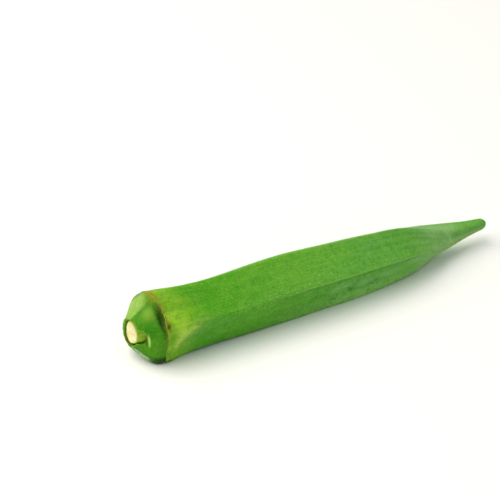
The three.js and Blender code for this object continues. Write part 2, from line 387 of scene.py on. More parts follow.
def cap_point(q, angle):
    """The cap from the collar (q = 0) to the scar (q = 1), as radius and distance along: a cone
    between two outlines that begins with a straight neck, swollen by half a sine, with a leaning
    top ridge, dipped faces, one deep hollow, swellings, the scar's groove and a torn fold."""
    neck = around(NECK_LENGTH, angle)
    up_cone = np.maximum(0, (q - neck) / (1 - neck))
    share = up_cone + around(CAP_FULLNESS, angle) * np.sin(np.pi * up_cone)
    lean = TOP_LEAN * patch(angle, TOP, TOP_LEAN_HALF) * np.sin(np.pi * q)
    inner = collar_radius(angle)
    radius = inner + (body_radius(CAP_OUTLINE_AT, angle + lean) - inner) * share
    for face, dip in enumerate(CAP_FACE_DIP):
        middle = TOP - PITCH * (face + 0.5)
        radius = radius - dip * patch(angle, middle, PITCH / 2) * bell(q, CAP_DIP_AT, CAP_DIP_WIDTH)
    hollow_width = np.where(q < HOLLOW_AT, HOLLOW_BEFORE, HOLLOW_AFTER)
    hollow = patch(angle, HOLLOW_ANGLE, HOLLOW_HALF) * bell(q, HOLLOW_AT, hollow_width)
    radius = radius - HOLLOW_DEPTH * hollow
    for middle, half, at, width, height in CAP_SWELLINGS:
        radius = radius + height * patch(angle, middle, half) * bell(q, at, width)
    radius = radius - SCAR_GROOVE * bell(q, SCAR_GROOVE_AT, SCAR_GROOVE_WIDTH)
    along = collar_at(angle) + (scar_at(angle) - CAP_END - collar_at(angle)) * q
    fold = fold_mask(along, angle) - CREASE_DEPTH * fold_mask(along + CREASE_BEFORE, angle)
    return radius + FOLD_HEIGHT * fold, along


def stub_gap(t, angle):
    """From the stub's edge (t = 0) down its side, over the gap's floor and up to the collar's rim
    (t = 1), as radius and distance along: a chain of points, drawn half way between straight lines
    and a cubic through neighbours. The points go deeper with the gap and the scoop. Where there is
    no gap, they lie on the straight line from edge to rim."""
    stem, gap, cut = around(STEM_RADIUS, angle), around(COLLAR_GAP, angle), scoop(angle)
    rim, rim_at = collar_radius(angle), collar_at(angle)
    floor = np.minimum(stem + 0.4, rim - 0.35) + 0.6 * cut
    inside = np.maximum(rim - around(LIP_WIDTH, angle), floor + 0.1)
    opened = [
        (stem + 0.15 + 0.25 * cut, STEM_EDGE + 0.7 * gap + 0.9 * cut),
        (floor, 0.3 + 0.8 * gap + 1.9 * cut),
        (inside, rim_at + 0.08),
    ]
    is_open = np.clip(np.maximum(gap, cut), 0, 1)
    chain = [(stem - EDGE_ROUND, FACE_DROP + 0 * stem), (stem, STEM_EDGE + 0 * stem)]
    for share, (open_radius, open_along) in zip(GAP_SHARES, opened):
        straight_radius = stem + share * (rim - stem)
        straight_along = STEM_EDGE + share * (rim_at - STEM_EDGE)
        chain.append((is_open * open_radius + (1 - is_open) * straight_radius,
                      is_open * open_along + (1 - is_open) * straight_along))
    chain.append((rim, rim_at))
    at = t * (len(chain) - 1)
    i = np.minimum(np.floor(at).astype(int), len(chain) - 2)
    f = at - i
    pair = []
    for values in zip(*chain):
        values = np.stack([values[0], *values, values[-1]])
        a, b, c, d = (np.take_along_axis(values, (i + k)[None], 0)[0] for k in range(4))
        pair.append((cubic(a, b, c, d, f) + b + f * (c - b)) / 2)
    return pair


def place(radius, s, angle):
    """The point at a radius, a distance along and an angle round the pod's axis, in metres. The
    section turns with the twist, and what would sink below the table is flattened onto it."""
    angle = angle + curve(TWIST, s)
    y = curve(AXIS_SIDE, s) - radius * np.cos(angle) - MIDDLE_Y
    z = curve(AXIS_UP, s) + radius * np.sin(angle) - TABLE_Z
    return np.stack([s - MIDDLE_X, y, np.maximum(0, z)], -1) * MM


def fibre_place(radius, angle):
    """Where a point of the cut face lies across its fibres and down them, in millimetres."""
    return radius * np.cos(angle - FIBRE_ANGLE), radius * np.sin(angle - FIBRE_ANGLE)


def pod_grid():
    """Every row of the pod's surface from the middle of the cut face to the tip, as arrays of
    radius, distance along, angle and q (0 to 1 on the cap). The cut face is a shallow dome with
    waves of relief along its fibres. The body's rows crowd towards the scar and follow it at
    first, and the tip is a quarter of an ellipse."""
    columns = np.arange(COLUMNS) * 2 * np.pi / COLUMNS + TOP
    parts = []

    part, angle = np.meshgrid(np.linspace(0.05, 0.96, FACE_ROWS), columns, indexing="ij")
    stem = around(STEM_RADIUS, angle)
    across, down_fibre = fibre_place(part * stem, angle)
    fibre = np.sin(across * 5.5 + 1.3 * np.sin(across * 2.1 + down_fibre))
    fibre = FIBRE_RELIEF * fibre * np.cos(1.5 * down_fibre + across) * rise(part, 1, 0.8)
    parts.append((part * (stem - EDGE_ROUND), FACE_DROP * part + fibre, angle, 0 * part + STUB_Q))

    t, angle = np.meshgrid(np.linspace(0, 1, GAP_ROWS, endpoint=False), columns, indexing="ij")
    parts.append((*stub_gap(t, angle), angle, 0 * t + STUB_Q))

    q, angle = np.meshgrid(np.linspace(0, 1, CAP_ROWS), columns, indexing="ij")
    parts.append((*cap_point(q, angle), angle, q))

    share, angle = np.meshgrid(np.linspace(0, 1, SCAR_ROWS), columns, indexing="ij")
    along = scar_at(angle) + SCAR_ZONE_START + SCAR_ZONE * share**1.6
    parts.append((body_radius(along, angle), along, angle, 0 * along + BODY_Q))

    share, angle = np.meshgrid(np.linspace(0, 1, BODY_ROWS + 1)[1:], columns, indexing="ij")
    wave = rise(share, 0.2, 0) * (scar_at(angle) - SCAR_NEAREST)
    along = BODY_START + (TIP_ROUND_AT - BODY_START) * share + wave
    parts.append((body_radius(along, angle), along, angle, 0 * along + BODY_Q))

    turn, angle = np.meshgrid(np.linspace(0, np.pi / 2, TIP_ROWS + 2)[1:-1], columns, indexing="ij")
    along = TIP_ROUND_AT + (LENGTH - TIP_ROUND_AT) * np.sin(turn)
    radius = body_radius(TIP_ROUND_AT, angle) * np.cos(turn)
    parts.append((radius, along, angle, 0 * along + BODY_Q))
    return [np.concatenate(rows) for rows in zip(*parts)]


def closed_faces(rows, columns):
    """The faces of a closed skin of rows of points with a single point at each end: quads between
    rows and a fan at each end, all facing outwards."""
    i = np.arange(columns)
    j = (i + 1) % columns
    row = np.arange(rows - 1)[:, None] * columns + 1
    quads = np.stack([row + i, row + columns + i, row + columns + j, row + j], -1).reshape(-1, 4)
    last = rows * columns + 1
    start = np.stack([0 * i, 1 + i, 1 + j], -1)
    end = np.stack([0 * i + last, last - columns + j, last - columns + i], -1)
    return quads, start, end


def add_mesh(name, points, face_lists, smooth=True):
    """Put arrays of points and of faces with equal corner counts into a new mesh object."""
    mesh = bpy.data.meshes.new(name)
    corners = np.concatenate([faces.ravel() for faces in face_lists]).astype(np.int32)
    sizes = np.concatenate([np.full(len(faces), faces.shape[1]) for faces in face_lists])
    starts = np.concatenate([[0], np.cumsum(sizes)[:-1]]).astype(np.int32)
    mesh.vertices.add(len(points))
    mesh.vertices.foreach_set("co", points.astype(np.float32).ravel())
    mesh.loops.add(len(corners))
    mesh.loops.foreach_set("vertex_index", corners)
    mesh.polygons.add(len(sizes))
    mesh.polygons.foreach_set("loop_start", starts)
    mesh.update(calc_edges=True)
    mesh.polygons.foreach_set("use_smooth", np.full(len(sizes), smooth))
    mesh.validate()
    piece = bpy.data.objects.new(name, mesh)
    bpy.context.scene.collection.objects.link(piece)
    return piece


def set_attribute(mesh, name, kind, values, before, after):
    """Store the grid's values or vectors, and those of the two end points, on the skin's points."""
    layer = mesh.attributes.new(name, kind, "POINT")
    flat = np.concatenate([np.ravel(before), values.ravel(), np.ravel(after)])
    layer.data.foreach_set("value" if kind == "FLOAT" else "vector", flat.astype(np.float32))


# Materials ------------------------------------------------


def linear(hex_colour):
    """Turn an sRGB hex colour into linear red, green, blue and alpha."""
    parts = [int(hex_colour[i:i + 2], 16) / 255 for i in (0, 2, 4)]
    return (*(p / 12.92 if p <= 0.04045 else ((p + 0.055) / 1.055) ** 2.4 for p in parts), 1.0)


def add_node(tree, kind, inputs=(), **settings):
    """Add a node, set its own settings, and give its inputs a value or a link each."""
    node = tree.nodes.new(kind)
    for name, value in settings.items():
        setattr(node, name, value)
    for socket, value in dict(inputs).items():
        if isinstance(value, bpy.types.NodeSocket):
            tree.links.new(value, node.inputs[socket])
        else:
            node.inputs[socket].default_value = value
    return node


def new_material(name, masks=()):
    """A new material, its tree with no nodes but an attribute for each mask, and what they give."""
    material = bpy.data.materials.new(name)
    material.use_nodes = True
    tree = material.node_tree
    tree.nodes.clear()
    sources = {mask: add_node(tree, "ShaderNodeAttribute", attribute_name=mask).outputs["Fac"]
               for mask in masks}
    return material, tree, sources


# What the skin's green is along the pod, from the cut face (0) to the tip (1), and the colours
# that lie over it, as (masks and patterns, strength, colour). A colour is hex or a setting's name.
# The green turns paler and greyer towards the tip, partly as painted sheen, and the layers marked
# below are painted light or shade.
SKIN_STOPS = [
    (0.0, "skin_near"), (0.2, "skin_near"), (0.4, "skin_middle"), (0.6, "skin_far"),
    (0.74, "skin_far"), (0.81, "skin_taper"), (0.87, "skin_taper"), (0.92, "70b450"),
    (1.0, "skin_tip"),
]
SKIN_LAYERS = [
    ("bands", 0.35, "6cb02c"),
    ("long_streaks", 0.32, "3c8c14"),
    ("clouds", 0.2, "74b034"),
    ("clouds grains", 0.35, "88c448"),
    ("yellow", 0.85, "yellow_end"),
    ("yellow bands", 0.4, "68ac1c"),
    ("yellow fine_streaks", 0.5, "b0cc54"),
    ("yellow long_streaks", 0.5, "4c9c14"),
    ("olive", 0.6, "7b9a3c"),
    ("fine_streaks", 0.16, "74b22c"),
    ("upper_mid", 0.22, "84bc4c"),
    # Painted shade: darker green on the lower front face, below the band's line.
    ("low_side", 0.2, "2c8c0e"),
    ("low_side mottle", 0.26, "34801c"),
    ("low_side clouds", 0.2, "5c9c50"),
    ("shade_edge", 0.35, "5c9440"),
    # Painted highlight along the front ridge near the scar.
    ("ridge_highlight", 0.1, "86c03c"),
    # Painted bounce light and sheen: paler green on the lower face towards the tip.
    ("low_bounce_sheen", 0.52, "a4dc7c"),
    # Painted light on the front face just below the ridge, near the scar.
    ("low_band_light", 0.6, "b4d848"),
    ("band", 0.24, "bcd070"),
    # Painted shade: a dark line along the pod's lower edge, where it nears the table.
    ("foot_shade", 0.75, "244a18"),
    ("mottle", 0.4, "3f8a14"),
    ("pits", 0.3, "347c10"),
    ("grains", 0.27, "9cce60"),
    ("bright_corner", 0.45, "b8e048"),
    ("corner", 0.85, "4c9a08"),
    ("corner mottle", 0.12, "a4761c"),
    ("corner flecks", 0.8, "94641c"),
    ("corner grains", 0.4, "8e8c2a"),
    ("cap", 0.95, "cap_green"),
    ("low_cap", 0.6, "54960f"),
    ("cap clouds", 0.5, "4b8c14"),
    ("cap mottle", 0.35, "2c6c0c"),
    ("cap grains", 0.3, "6fb03a"),
    # Painted highlight on the cap's swelling.
    ("swelling_highlight", 0.75, "80a838"),
    # The cap's pale upper back side: partly its own paler green, partly painted sheen.
    ("lobe", 0.9, "cap_pale"),
    ("lobe clouds", 0.35, "84a83c"),
    ("lobe mottle", 0.25, "b4d080"),
    # Painted shade in the cap's hollow beside the scar.
    ("hollow", 0.95, "2a5416"),
    # Painted shade under the cap and beside the scar, where the pod nears the table.
    ("under", 0.85, "1c3c10"),
    ("ridge", 0.3, "a0c868"),
    ("ridge flecks", 0.6, "d8e8b0"),
    ("speckle grains", 0.2, "c0d8a0"),
    ("speckle pits", 0.2, "40841c"),
    ("ridge_shade clouds", 0.5, "3c7418"),
    ("ridge_shade", 0.3, "3c7c1c"),
    ("pale_smear mottle", 0.6, "a0c494"),
    ("pale_smear", 0.3, "84b470"),
    ("dark_smear mottle", 0.6, "24641c"),
    ("dark_smear", 0.25, "34741c"),
    ("top_stain", 0.6, "84962a"),
    ("top_stain mottle", 0.6, "8e7420"),
    # Painted sheen: paler grey-green over the taper, more on its lower side.
    ("taper", 0.12, "b0d094"),
    ("taper clouds", 0.32, "a4cc90"),
    ("taper mottle", 0.25, "a8c890"),
    # Painted light and sheen: paler low on the pod near the tip.
    ("far_low", 0.5, "a4c880"),
    ("far_low clouds", 0.3, "a8cc88"),
    # Painted shade: a dark line along a valley between ridges near the tip.
    ("groove", 0.45, "3c8c34"),
    ("scratch", 0.22, "c8dca0"),
    ("scratch mottle", 0.35, "b8d490"),
    ("rubbed", 0.22, "7c8c50"),
    ("rubbed clouds", 0.35, "8c8050"),
    ("rubbed mottle", 0.45, "7c6a3c"),
    ("rubbed grains", 0.3, "8c701c"),
    ("halo mottle", 0.5, "98902c"),
    ("scar", 0.6, "86982c"),
    ("scar clouds", 0.8, "scar_brown"),
    ("scar mottle", 0.7, "6a4c1c"),
    ("ring_line", 0.7, "5c4c20"),
    ("spot", 0.85, "58500e"),
    ("spot mottle", 0.7, "2c2c08"),
    ("flecks", 0.3, "4f6a1c"),
    ("raw", 1.0, "98c42c"),
    ("raw fine_streaks", 0.5, "c2c668"),
    ("raw mottle", 0.5, "74701f"),
    ("edge", 0.6, "dcd890"),
    ("edge mottle", 0.5, "a8a04c"),
    # Painted shade on the floor of the gap between stub and collar.
    ("deep", 0.85, "2c3008"),
    ("rind", 1.0, "6c9a24"),
    ("low_rind", 0.75, "505c14"),
    ("low_rind mottle", 0.9, "5c4c14"),
    # Painted shade in the crease before the torn fold.
    ("crease", 0.8, "3c5010"),
    # Painted rim light along the cap's lower edge, with a painted shade line above it.
    ("strip_shade_line", 0.75, "2c4a12"),
    ("strip", 0.8, "a4c888"),
    ("strip mottle", 0.5, "5c8440"),
    ("seam mottle", 0.8, "7a5a1c"),
    ("seam", 0.5, "7c8428"),
    ("lip", 1.0, "a4c860"),
]
PITH_LAYERS = [
    ("patches", 0.75, "f4f6d0"),
    ("shaded", 0.7, "c4b478"),
    ("fibres", 0.5, "98803c"),
    ("rim", 0.65, "b4b868"),
    ("rim patches", 0.5, "8a6a30"),
]


def any_colour(settings, colour):
    """A linear colour from the name of a setting or from sRGB hex."""
    return (*getattr(settings, colour), 1.0) if hasattr(settings, colour) else linear(colour)


def lay_over(tree, settings, sources, base, layers):
    """Lay colours over a base in turn, each as strong as its strength times the masks and patterns
    that it names. A Mix node takes its two colours on inputs 6 and 7 and gives one on output 2."""
    for names, factor, colour in layers:
        for name in names.split():
            factor = add_node(tree, "ShaderNodeMath", {0: sources[name], 1: factor},
                              operation="MULTIPLY").outputs[0]
        colour = any_colour(settings, colour)
        base = add_node(tree, "ShaderNodeMix", {0: factor, 6: base, 7: colour},
                        data_type="RGBA").outputs[2]
    return base


def add_patterns(tree, sources, patterns):
    """Add patterns to a material's sources and return their raw noise. Each is a name, where it is
    read, its size there, the noise that gives 0 and 1, and its detail."""
    raw = {}
    for name, vector, size, low, high, detail in patterns:
        sized = add_node(tree, "ShaderNodeVectorMath", {0: vector, 1: size}, operation="DIVIDE")
        raw[name] = add_node(tree, "ShaderNodeTexNoise", {
            "Vector": sized.outputs[0], "Scale": 1.0, "Detail": detail,
        }).outputs[0]
        sources[name] = add_node(tree, "ShaderNodeMapRange", {
            "Value": raw[name], "From Min": low, "From Max": high,
        }, interpolation_type="SMOOTHSTEP").outputs[0]
    return raw


def skin_material(settings, masks):
    """Fresh okra skin: a matt, downy, living plant surface. Streaks follow the pod's lines, finer
    mottling breaks up the green, and it has hardly any gloss."""
    material, tree, sources = new_material("okra_skin_fresh", masks)
    grain = add_node(tree, "ShaderNodeAttribute", attribute_name="grain").outputs["Vector"]
    spots = add_node(tree, "ShaderNodeTexCoord").outputs["Object"]

    # Streaks and bands are read round the pod and along it, in millimetres, and the others in the
    # object's space. Grains, pits and flecks are drawn two to three times coarser than real.
    add_patterns(tree, sources, (
        ("long_streaks", grain, (1.3, 1.3, 28), 0.42, 0.62, 2.0),
        ("fine_streaks", grain, (0.45, 0.45, 7), 0.45, 0.65, 2.0),
        ("bands", grain, (5, 5, 13), 0.4, 0.62, 2.0),
        ("clouds", spots, [3.2 * MM] * 3, 0.42, 0.6, 2.0),
        ("mottle", spots, [1.1 * MM] * 3, 0.46, 0.66, 3.0),
        ("grains", spots, [0.32 * MM] * 3, 0.5, 0.7, 2.0),
        ("pits", spots, [0.5 * MM] * 3, 0.5, 0.68, 2.0),
        ("flecks", spots, [0.9 * MM] * 3, 0.66, 0.72, 2.0),
    ))

    ramp = add_node(tree, "ShaderNodeValToRGB", {0: sources["along"]})
    elements = ramp.color_ramp.elements
    while len(elements) < len(SKIN_STOPS):
        elements.new(1.0)
    for element, (position, colour) in zip(elements, SKIN_STOPS):
        element.position = position
        element.color = any_colour(settings, colour)
    base = lay_over(tree, settings, sources, ramp.outputs[0], SKIN_LAYERS)

    # The relief is the streaks where the skin is smooth, and the grains everywhere.
    height = sources["long_streaks"]
    for operation, name in (("ADD", "fine_streaks"), ("MULTIPLY", "smooth"), ("ADD", "grains")):
        height = add_node(tree, "ShaderNodeMath", {0: sources[name], 1: height},
                          operation=operation).outputs[0]
    bump = add_node(tree, "ShaderNodeBump", {
        "Height": height, "Strength": 0.5, "Distance": 0.05 * MM,
    })
    rough = add_node(tree, "ShaderNodeMapRange", {
        "Value": sources["mottle"], "To Min": 0.5, "To Max": 0.62,
    })
    shader = add_node(tree, "ShaderNodeBsdfPrincipled", {
        "Base Color": base, "Roughness": rough.outputs[0], "IOR": 1.4, "Normal": bump.outputs[0],
        "Specular IOR Level": 0.08, "Subsurface Weight": 0.1, "Subsurface Radius": (0.5, 1.0, 0.2),
        "Subsurface Scale": 0.8 * MM, "Sheen Weight": 0.04, "Sheen Roughness": 0.4,
        "Sheen Tint": linear("dcecc0"),
    })
    add_node(tree, "ShaderNodeOutputMaterial", {"Surface": shader.outputs[0]})
    return material


def pith_material(settings, masks):
    """Cut okra stem: a damp, fibrous, cream-coloured pith, sliced across. Its fibres show as soft
    slanting streaks, greener towards the rim, and it is duller than the skin. The fibres are two or
    three times coarser than real, and the patches are the size of real ones."""
    material, tree, sources = new_material("okra_pith_cut", masks)
    fibre_way = add_node(tree, "ShaderNodeAttribute", attribute_name="fibre_way").outputs["Vector"]
    spots = add_node(tree, "ShaderNodeTexCoord").outputs["Object"]
    raw = add_patterns(tree, sources, (
        ("fibres", fibre_way, (0.28, 2.2, 1), 0.55, 0.72, 2.0),
        ("patches", spots, [1.6 * MM] * 3, 0.44, 0.58, 2.0),
    ))
    base = lay_over(tree, settings, sources, any_colour(settings, "pith_cream"), PITH_LAYERS)
    bump = add_node(tree, "ShaderNodeBump", {
        "Height": raw["fibres"], "Strength": 0.5, "Distance": 0.1 * MM,
    })
    shader = add_node(tree, "ShaderNodeBsdfPrincipled", {
        "Base Color": base, "Roughness": 0.6, "IOR": 1.4, "Normal": bump.outputs[0],
        "Subsurface Weight": 0.15, "Subsurface Radius": (1.0, 0.9, 0.4),
        "Subsurface Scale": 0.8 * MM,
    })
    add_node(tree, "ShaderNodeOutputMaterial", {"Surface": shader.outputs[0]})
    return material


def down_material(settings):
    """Plant hairs: short, clear and pale, so they lighten the green's edge without hiding it."""
    material, tree, _ = new_material("okra_down_hair")
    shader = add_node(tree, "ShaderNodeBsdfPrincipled", {
        "Base Color": any_colour(settings, "hair_colour"), "Roughness": 0.6, "IOR": 1.4,
        "Subsurface Weight": 0.3, "Subsurface Radius": (1.0, 1.0, 0.6),
        "Subsurface Scale": 0.3 * MM,
    })
    add_node(tree, "ShaderNodeOutputMaterial", {"Surface": shader.outputs[0]})
    return material


def stage_material(settings):
    """A matt painted board: a quiet, nearly white ground that takes soft shadows and has no shine.
    Its grain, 2.5 mm, is several times coarser than real paint's."""
    material, tree, _ = new_material("board_matt_white")
    spots = add_node(tree, "ShaderNodeTexCoord").outputs["Object"]
    grain = add_node(tree, "ShaderNodeTexNoise", {
        "Vector": spots, "Scale": 1 / (2.5 * MM), "Detail": 2.0,
    })
    rough = add_node(tree, "ShaderNodeMapRange", {
        "Value": grain.outputs[0], "To Min": 0.85, "To Max": 0.95,
    })
    shader = add_node(tree, "ShaderNodeBsdfPrincipled", {
        "Base Color": any_colour(settings, "floor_colour"), "Roughness": rough.outputs[0],
    })
    add_node(tree, "ShaderNodeOutputMaterial", {"Surface": shader.outputs[0]})
    return material


# Pieces ---------------------------------------------------


def skin_masks(radius, along, angle, q):
    """Where each of the skin's colours lies, as values from 0 to 1 on the grid's points. Spots,
    lines and bells are soft, and rises are the ends of a stretch along the pod or round it. Angles
    are in degrees here."""
    on_stub, on_cap, on_body = (q == STUB_Q) * 1.0, (q <= 1) * 1.0, (q == BODY_Q) * 1.0
    turn = angle_between(angle, 0) / DEG
    twisted = angle + curve(TWIST, along)
    from_scar = along - scar_at(angle)
    above_band = angle_between(angle, curve(BAND_AT, from_scar) * DEG) / DEG
    on_q = np.clip(q, 0, 1)
    from_strip = angle_between(angle, curve(STRIP_AT, on_q) * DEG) / DEG
    from_crease = angle_between(angle, TOP - TOP_LEAN * np.sin(np.pi * on_q)) / DEG
    gap = np.clip(around(COLLAR_GAP, angle), 0, 1)
    down_stub = rise(np.arange(len(q))[:, None], FACE_ROWS, FACE_ROWS + GAP_ROWS) + 0 * angle
    up_rim = rise(down_stub, 2 / 3, 5 / 6)
    past_corner = rise(from_scar, 1.5, 3)

    def spot(centre, half):
        return patch(angle, centre * DEG, half * DEG)

    def line(centre, width, off=0):
        return bell(angle_between(angle, centre * DEG) * radius, off, width)

    def smears(kind):
        return sum(bell(along, at, length) * bell(angle_between(angle, middle * DEG), 0, half * DEG)
                   for at, middle, length, half in SMEARS[kind])

    hollow_edge = 0.77 + 0.02 * ripple(0, angle, *HOLLOW_WAVES) + 0.1 * spot(80, 40)
    masks = {
        "along": along / LENGTH,
        "cap": 1 - on_body,
        "smooth": 1 - 0.75 * on_cap - on_stub,
        "ridge": bell(from_ridge(angle) * np.maximum(radius, 1), 0, 0.24)
                 * rise(along, 24, 54) * (1 - 0.8 * rise(along, 84, 92)),
        "scar": bell(from_scar, 0.06, 0.2) * (0.55 + 0.45 * np.sin(angle))
                * (1 - patch(angle, SCAR_FADE_ANGLE, SCAR_FADE_HALF)),
        "halo": bell(from_scar, 0.4, 1.1) * rise(np.sin(angle), -0.5, 0.5)
                * (1 - 0.8 * on_cap * spot(38, 38)),
        "ring_line": bell(from_scar, -0.05, 0.13) * spot(-8, 40),
        "top_stain": bell(from_scar, 0, 1.3) * spot(84, 34),
        # Painted shade under the cap and beside the scar, where the pod nears the table.
        "under": rise(turn, -160, -100)
                 * (on_cap * rise(turn, -33, -39) * rise(q, 0.4, 0.6)
                    + on_body * rise(turn, -44, -49) * rise(from_scar, 3.25, 0.75)),
        "lip": on_stub * rise(down_stub, 4.2 / 6, 5.2 / 6) * spot(14, 24)
               + on_cap * fold_mask(along, angle),
    }
    stub_masks = {
        "raw": rise(down_stub, 0.75, 0.5) * (0.4 + 0.6 * gap),
        "edge": rise(down_stub, 1 / 6, 0) * spot(30, 100),
        # Painted shade on the floor of the gap between stub and collar.
        "deep": bell(down_stub, 0.6, 0.13) * gap * (1 - 0.5 * spot(180, 70)),
        "seam": bell(down_stub, 0.85, 0.16) * (1 - gap) * spot(56, 44),
        "rind": up_rim * (1 - scoop(angle)) * gap,
        "low_rind": up_rim * spot(-105, 60),
    }
    cap_masks = {
        "low_cap": spot(-22, 40),
        # Painted highlight on the cap's swelling.
        "swelling_highlight": spot(58, 24) * bell(q, 0.48, 0.24),
        # The cap's pale upper back side: partly its own paler green, partly painted sheen.
        "lobe": rise(from_crease, 0, 13) * rise(q, 1.02, 0.8)
                * rise(angle_between(190 * DEG, angle), 0, 25 * DEG),
        # Painted shade in the cap's hollow beside the scar.
        "hollow": np.sqrt(spot(40, 36)) * rise(q - hollow_edge, 0, 0.08),
        # Painted shade in the crease before the torn fold.
        "crease": fold_mask(along + CREASE_BEFORE, angle),
        # Painted rim light along the cap's lower edge, and a painted shade line above it.
        "strip": rise(from_strip, -1.5, -4.5) * rise(from_strip, -26, -12) * rise(q, 0.46, 0.34),
        "strip_shade_line": bell(from_strip, 0, 3) * rise(q, 0.5, 0.4),
    }
    body_masks = {
        "yellow": rise(from_scar / around(YELLOW_REACH, angle), 1.25, 0.25),
        "olive": spot(-4, 26) * bell(from_scar, 4.5, 3),
        "bright_corner": spot(21, 20) * bell(from_scar, 4.2, 2.2),
        "corner": spot(5, 19) * bell(from_scar, 1.3, 1.4),
        "spot": spot(27, 13) * bell(from_scar, 0.45, 0.6),
        "shade_edge": spot(2, 20) * bell(from_scar, 12, 8),
        # Painted light on the front face just below the ridge, near the scar.
        "low_band_light": rise(above_band, -1.8, 4.2) * rise(turn, 20, 12) * rise(turn, -60, -52)
                    * past_corner * rise(from_scar, 11, 6),
        "band": bell(above_band, 2, 11) * past_corner * rise(from_scar, 15, 7),
        # Painted shade along the lower edge, where the pod nears the table.
        "foot_shade": bell(angle_between(angle, -58 * DEG), 0, 6 * DEG)
                * rise(from_scar, 3, 9) * rise(from_scar, 46, 32),
        # Painted bounce light and sheen on the lower face towards the tip.
        "low_bounce_sheen": spot(-52, 42) * rise(along, 30, 65),
        # Painted highlight along the front ridge near the scar.
        "ridge_highlight": line(21, 0.6) * rise(along, 14, 18) * rise(along, 40, 28),
        "upper_mid": spot(52, 50) * bell(along, 46, 15),
        # Painted shade: darker green on the lower front face, below the band's line.
        "low_side": rise(above_band, 0, -5) * rise(turn, -62, -52) * rise(from_scar, 1.8, 7.8)
                    * rise(along, 96, 66) * (1 - 0.6 * bell(along, 34, 9)),
        "speckle": line(22, 1.5) * rise(along, 20, 28) * rise(along, 62, 46),
        "ridge_shade": line(18, 0.26, -0.5) * rise(along, 36, 50) * rise(along, 90, 82),
        "pale_smear": smears("pale_smear"),
        "dark_smear": smears("dark_smear"),
        # Painted sheen over the taper, stronger on its lower side.
        "taper": rise(along, 84, 96) * rise(along, 108, 100)
                 * (0.6 + 0.5 * rise(np.sin(twisted), 0.5, 0)),
        # Painted light and sheen low on the pod near the tip.
        "far_low": rise(along, 97, 105) * rise(np.sin(twisted - 20 * DEG), 0.3, -0.7),
        # Painted shade along a valley between ridges near the tip.
        "groove": line(60, 0.8) * rise(along, 97, 103) * rise(along, 114.5, 112.5),
        "scratch": bell(along, curve(SCRATCH_AT, turn), 0.22) * rise(turn, -25, -5)
                   * rise(turn, 115, 95),
        "rubbed": line(17 + 11 * rise(along, 93, 101), 0.36) * rise(along, 86, 94)
                  * rise(along, 113, 107),
    }
    for region, group in ((on_stub, stub_masks), (on_cap, cap_masks), (on_body, body_masks)):
        masks.update({name: region * values for name, values in group.items()})
    return masks


def pith_masks(radius, angle):
    """Where the cut face is shaded and where its rim is, from 0 to 1 on the grid's points."""
    return {
        "shaded": rise(radius * np.cos(angle - 50 * DEG), 0, 4),
        "rim": rise(radius / around(STEM_RADIUS, angle), 0.84, 0.965),
    }


def make_pod(settings):
    """The pod's whole skin as one closed surface, with the masks that its colours read: rows of
    points round the axis, each at the section's radius, and a single point at each end. The cut
    face has the pith's material."""
    radius, along, angle, q = pod_grid()
    points = place(radius, along, angle).reshape(-1, 3)
    first = place(0.0, 0.0, 0.0)[None]
    last = place(0.0, LENGTH, 0.0)[None]
    quads, start, end = closed_faces(len(radius), COLUMNS)
    pod = add_mesh("okra_pod_skin", np.concatenate([first, points, last]), [quads, start, end])

    mesh = pod.data
    skin, pith = skin_masks(radius, along, angle, q), pith_masks(radius, angle)
    for name, values in {**skin, **pith}.items():
        set_attribute(mesh, name, "FLOAT", values, *END_VALUES.get(name, (0, 0)))
    fibre_way = np.stack([*fibre_place(radius, angle), 0 * along], -1)
    set_attribute(mesh, "fibre_way", "FLOAT_VECTOR", fibre_way, (0, 0, 0), (0, 0, 0))
    grain = np.stack([GRAIN_RADIUS * np.cos(angle), GRAIN_RADIUS * np.sin(angle), along], -1)
    set_attribute(mesh, "grain", "FLOAT_VECTOR", grain, (0, 0, 0), (0, 0, LENGTH))

    mesh.materials.append(skin_material(settings, skin))
    mesh.materials.append(pith_material(settings, pith))
    material_index = np.zeros(len(mesh.polygons), np.int32)
    material_index[: (FACE_ROWS + 1) * COLUMNS] = 1
    material_index[len(quads): len(quads) + len(start)] = 1
    mesh.polygons.foreach_set("material_index", material_index)
    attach(pod, BODY)
    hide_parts(NODE)
    return pod


